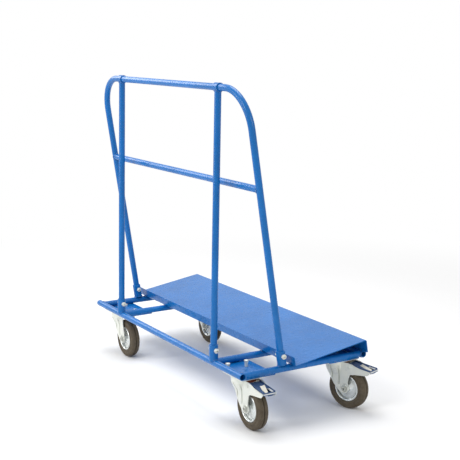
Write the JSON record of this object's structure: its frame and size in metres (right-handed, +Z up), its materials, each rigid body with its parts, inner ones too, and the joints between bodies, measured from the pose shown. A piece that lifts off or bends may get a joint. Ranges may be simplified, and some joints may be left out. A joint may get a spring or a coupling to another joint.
{
  "type": "drywall cart",
  "caption": "Welded tube cart on swivel casters with a sloped folded deck, a leaning hoop back and braced posts, for rolling sheet goods on edge.",
  "frame": {"origin": "on the floor, midway between the posts along the cart and midway between the rails across it", "axes": "+X along the cart to its braked end, +Y from the open side to the deck side, +Z up"},
  "size_m": [1.3322, 0.5663, 1.2148],
  "materials": {
    "blue_paint": "gloss",
    "zinc": "bright zinc plating",
    "pedal_steel": "satin",
    "pad_plastic": "satin",
    "ring_rubber": "matte",
    "nylon": "satin",
    "tyre": "matte"
  },
  "bodies": {
    "cart_frame": {"near_rail": "blue_paint", "far_rail": "blue_paint", "deck": "blue_paint", "bow": "blue_paint", "mid_bar": "blue_paint", "left_end_tube": "blue_paint", "left_inner_tube": "blue_paint", "left_post_socket": "blue_paint", "left_leg_socket": "blue_paint", "left_post": "blue_paint", "left_sleeve": "blue_paint", "right_end_tube": "blue_paint", "right_inner_tube": "blue_paint", "right_post_socket": "blue_paint", "right_leg_socket": "blue_paint", "right_post": "blue_paint", "right_sleeve": "blue_paint", "socket_bolts": "zinc", "socket_nuts": "zinc", "caster_bolts": "zinc", "caster_nuts": "zinc", "spacers": "zinc", "kingpins": "zinc", "dust_rings": "ring_rubber", "near_left_mount": "blue_paint", "near_right_mount": "blue_paint", "far_left_mount": "blue_paint", "far_right_mount": "blue_paint", "near_left_plate": "zinc", "near_right_plate": "zinc", "far_left_plate": "zinc", "far_right_plate": "zinc"},
    "near_left_swivel": {"near_left_fork": "zinc", "near_left_axle": "zinc"},
    "near_right_swivel": {"near_right_fork": "zinc", "near_right_axle": "zinc", "near_right_brake_pin": "zinc"},
    "far_left_swivel": {"far_left_fork": "zinc", "far_left_axle": "zinc"},
    "far_right_swivel": {"far_right_fork": "zinc", "far_right_axle": "zinc", "far_right_brake_pin": "zinc"},
    "near_left_wheel": {"near_left_rim": "zinc", "near_left_tyre": "tyre", "near_left_bush": "nylon"},
    "near_right_wheel": {"near_right_rim": "zinc", "near_right_tyre": "tyre", "near_right_bush": "nylon"},
    "far_left_wheel": {"far_left_rim": "zinc", "far_left_tyre": "tyre", "far_left_bush": "nylon"},
    "far_right_wheel": {"far_right_rim": "zinc", "far_right_tyre": "tyre", "far_right_bush": "nylon"},
    "near_right_brake": {"near_right_pedal": "pedal_steel", "near_right_pad": "pad_plastic"},
    "far_right_brake": {"far_right_pedal": "pedal_steel", "far_right_pad": "pad_plastic"}
  },
  "joints": [
    {"name": "near_left_turn", "type": "hinge", "parent": "cart_frame", "child": "near_left_swivel", "pos_m": [-0.508, -0.2045, 0.1685], "axis": [0, 0, 1], "continuous": true},
    {"name": "near_right_turn", "type": "hinge", "parent": "cart_frame", "child": "near_right_swivel", "pos_m": [0.508, -0.2045, 0.1685], "axis": [0, 0, 1], "continuous": true},
    {"name": "far_left_turn", "type": "hinge", "parent": "cart_frame", "child": "far_left_swivel", "pos_m": [-0.508, 0.2045, 0.1685], "axis": [0, 0, 1], "continuous": true},
    {"name": "far_right_turn", "type": "hinge", "parent": "cart_frame", "child": "far_right_swivel", "pos_m": [0.508, 0.2045, 0.1685], "axis": [0, 0, 1], "continuous": true},
    {"name": "near_left_roll", "type": "hinge", "parent": "near_left_swivel", "child": "near_left_wheel", "pos_m": [-0.452, -0.2045, 0.08], "axis": [0, 1, 0], "continuous": true},
    {"name": "near_right_roll", "type": "hinge", "parent": "near_right_swivel", "child": "near_right_wheel", "pos_m": [0.564, -0.2045, 0.08], "axis": [0, 1, 0], "continuous": true},
    {"name": "far_left_roll", "type": "hinge", "parent": "far_left_swivel", "child": "far_left_wheel", "pos_m": [-0.452, 0.2045, 0.08], "axis": [0, 1, 0], "continuous": true},
    {"name": "far_right_roll", "type": "hinge", "parent": "far_right_swivel", "child": "far_right_wheel", "pos_m": [0.56107, 0.22236, 0.08], "axis": [-0.319, 0.9478, 0], "continuous": true},
    {"name": "near_right_brake_press", "type": "hinge", "parent": "near_right_swivel", "child": "near_right_brake", "pos_m": [0.581, -0.2045, 0.166], "axis": [0, 1, 0], "range_deg": [0, 10]},
    {"name": "far_right_brake_press", "type": "hinge", "parent": "far_right_swivel", "child": "far_right_brake", "pos_m": [0.57719, 0.22778, 0.166], "axis": [-0.319, 0.9478, 0], "range_deg": [0, 10]}
  ]
}
